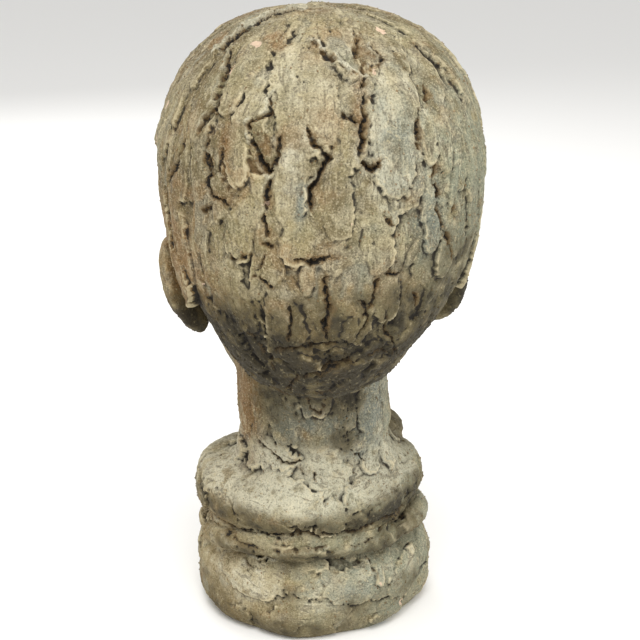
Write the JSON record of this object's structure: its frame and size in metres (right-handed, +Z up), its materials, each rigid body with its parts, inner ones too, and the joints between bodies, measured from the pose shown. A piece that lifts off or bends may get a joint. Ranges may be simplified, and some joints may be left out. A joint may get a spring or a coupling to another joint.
{
  "type": "portrait bust",
  "caption": "Head of a child with a thickly modelled cap of hair, on a neck, rolled collar and low round base, cast as one and patinated.",
  "frame": {"origin": "under the middle of the bounding box, in the plane of the flat underside", "axes": "+Z up; the face looks along -Y, turned 9 degrees to the figure's left; +X is the figure's left"},
  "size_m": [0.1692, 0.1994, 0.3311],
  "materials": {
    "patinated_plaster": "cast plaster, matt, with an olive and earth brown patina that is darker in the crevices"
  },
  "bodies": {
    "root": {"bust": "patinated_plaster"}
  },
  "joints": []
}
